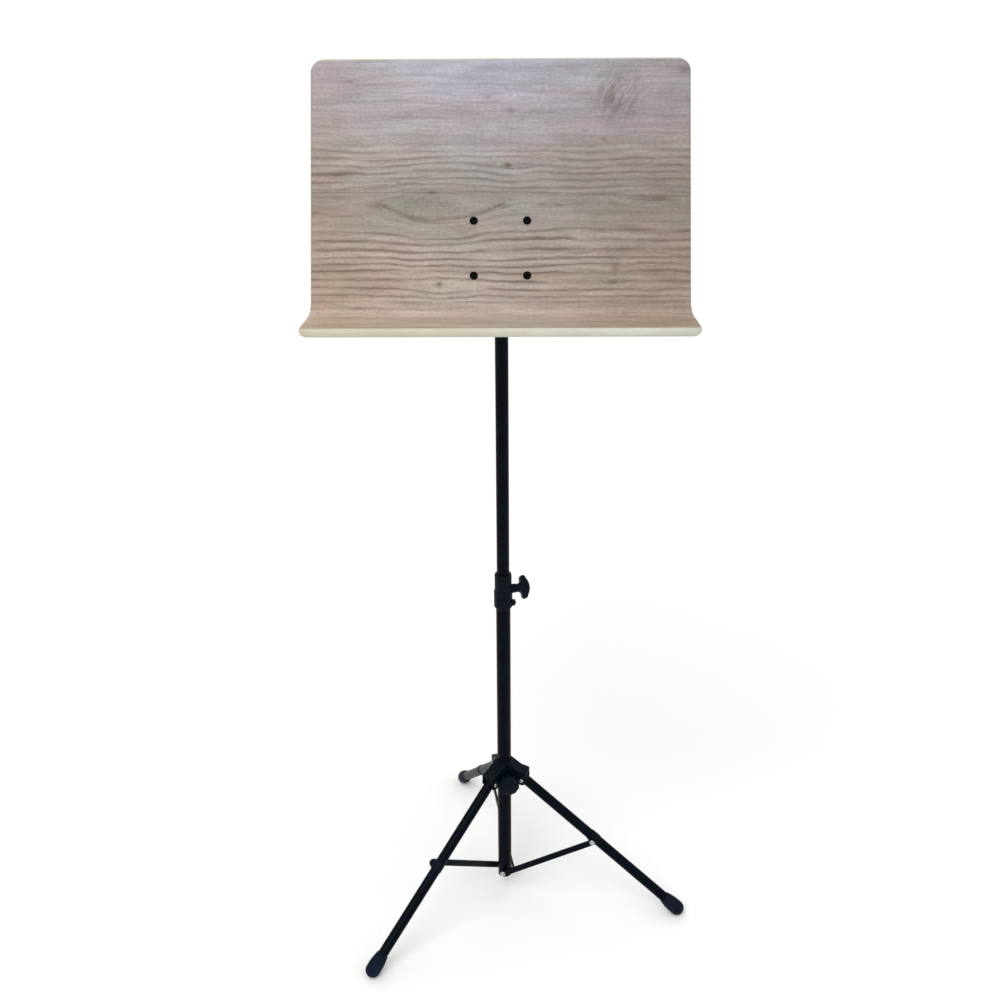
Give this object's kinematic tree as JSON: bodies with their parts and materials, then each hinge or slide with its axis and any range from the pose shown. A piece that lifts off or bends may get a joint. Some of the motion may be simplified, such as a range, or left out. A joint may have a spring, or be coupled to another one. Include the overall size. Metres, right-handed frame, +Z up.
{
  "type": "music stand",
  "caption": "Music stand: a bent wood-grain desk with a lip, tilting on a telescopic black steel mast over a folding tripod with strutted legs and rubber feet.",
  "frame": {"origin": "on the floor under the mast's axis", "axes": "+Z up along the mast, -Y towards the player, +X to the player's right"},
  "size_m": [0.5498, 0.5147, 1.3272],
  "materials": {
    "black_steel": "satin powder coat",
    "black_plastic": "satin moulded",
    "zinc_steel": "zinc plated",
    "black_screws": "black oxide",
    "brass": "turned",
    "nylon": "matte",
    "foot_rubber": "matte",
    "board_edge": "lacquered moulded board",
    "wood_laminate": "satin printed pine grain"
  },
  "bodies": {
    "mast": {"lower_tube": "black_steel", "bottom_plug": "black_plastic", "strut_pins": "zinc_steel", "clamp_collar": "black_plastic", "collar_insert": "brass", "collar_screw": "black_screws", "height_pad": "nylon"},
    "liner": {"collar_liner": "nylon"},
    "upper_mast": {"upper_tube": "black_steel", "tube_guide": "nylon", "tilt_head": "black_plastic", "head_pin": "zinc_steel"},
    "desk": {"desk_board": "board_edge", "desk_laminate": "wood_laminate", "desk_bolts": "black_screws", "desk_washers": "zinc_steel", "desk_nuts": "zinc_steel", "tilt_bracket": "black_steel", "tilt_bolt": "zinc_steel", "tilt_washers": "nylon"},
    "tilt_knob": {"tilt_knob": "black_plastic", "tilt_insert": "brass"},
    "height_knob": {"height_knob": "black_plastic", "height_stud": "zinc_steel"},
    "hub": {"hub_body": "black_plastic", "hub_rivets": "zinc_steel", "hub_insert": "brass", "hub_pad": "nylon"},
    "hub_knob": {"hub_knob": "black_plastic", "hub_stud": "zinc_steel"},
    "leg_left": {"leg_tube_left": "black_steel", "leg_plug_left": "black_plastic", "foot_left": "foot_rubber", "leg_clip_left": "black_plastic"},
    "strut_left": {"strut_left": "black_steel", "strut_rivet_left": "zinc_steel"},
    "leg_right": {"leg_tube_right": "black_steel", "leg_plug_right": "black_plastic", "foot_right": "foot_rubber", "leg_clip_right": "black_plastic"},
    "strut_right": {"strut_right": "black_steel", "strut_rivet_right": "zinc_steel"},
    "leg_rear": {"leg_tube_rear": "black_steel", "leg_plug_rear": "black_plastic", "foot_rear": "foot_rubber", "leg_clip_rear": "black_plastic"},
    "strut_rear": {"strut_rear": "black_steel", "strut_rivet_rear": "zinc_steel"}
  },
  "joints": [
    {"name": "mast_swivel", "type": "hinge", "parent": "mast", "child": "liner", "pos_m": [0, 0, 0.575], "axis": [0, 0, 1], "continuous": true},
    {"name": "height_slide", "type": "slide", "parent": "liner", "child": "upper_mast", "axis": [0, 0, 1], "range_m": [-0.4, 0.06]},
    {"name": "desk_tilt", "type": "hinge", "parent": "upper_mast", "child": "desk", "pos_m": [0, 0, 1.076], "axis": [-1, 0, 0], "range_deg": [-24, 66]},
    {"name": "tilt_knob_turn", "type": "hinge", "parent": "desk", "child": "tilt_knob", "pos_m": [0.02, 0, 1.076], "axis": [1, 0, 0], "range_deg": [0, 270]},
    {"name": "height_knob_turn", "type": "hinge", "parent": "mast", "child": "height_knob", "pos_m": [0.01932, 0.00518, 0.566], "axis": [0.9659, 0.2588, 0], "range_deg": [0, 270]},
    {"name": "tripod_fold", "type": "slide", "parent": "mast", "child": "hub", "axis": [0, 0, 1], "range_m": [0, 0.1335]},
    {"name": "hub_knob_turn", "type": "hinge", "parent": "hub", "child": "hub_knob", "pos_m": [0.00556, -0.02232, 0.2245], "axis": [0.2419, -0.9703, 0], "range_deg": [0, 270]},
    {"name": "leg_left_fold", "type": "hinge", "parent": "hub", "child": "leg_left", "pos_m": [-0.02153, -0.0223, 0.2255], "axis": [0.7193, -0.6947, 0], "range_deg": [0, 46.46]},
    {"name": "strut_left_fold", "type": "hinge", "parent": "mast", "child": "strut_left", "pos_m": [-0.01007, 0.00972, 0.0315], "axis": [-0.7193, 0.6947, 0], "range_deg": [0, 43.74]},
    {"name": "leg_right_fold", "type": "hinge", "parent": "hub", "child": "leg_right", "pos_m": [0.03008, -0.0075, 0.2255], "axis": [0.2419, 0.9703, 0], "range_deg": [0, 46.46]},
    {"name": "strut_right_fold", "type": "hinge", "parent": "mast", "child": "strut_right", "pos_m": [-0.00339, -0.01358, 0.0315], "axis": [-0.2419, -0.9703, 0], "range_deg": [0, 43.74]},
    {"name": "leg_rear_fold", "type": "hinge", "parent": "hub", "child": "leg_rear", "pos_m": [-0.00855, 0.0298, 0.2255], "axis": [-0.9613, -0.2756, 0], "range_deg": [0, 46.46]},
    {"name": "strut_rear_fold", "type": "hinge", "parent": "mast", "child": "strut_rear", "pos_m": [0.01346, 0.00386, 0.0315], "axis": [0.9613, 0.2756, 0], "range_deg": [0, 43.74]}
  ],
  "couplings": [
    {"joint": "leg_left_fold", "follows": "tripod_fold", "rad_per_m": 6.0679},
    {"joint": "strut_left_fold", "follows": "tripod_fold", "rad_per_m": 5.7124},
    {"joint": "leg_right_fold", "follows": "tripod_fold", "rad_per_m": 6.0679},
    {"joint": "strut_right_fold", "follows": "tripod_fold", "rad_per_m": 5.7124},
    {"joint": "leg_rear_fold", "follows": "tripod_fold", "rad_per_m": 6.0679},
    {"joint": "strut_rear_fold", "follows": "tripod_fold", "rad_per_m": 5.7124}
  ]
}
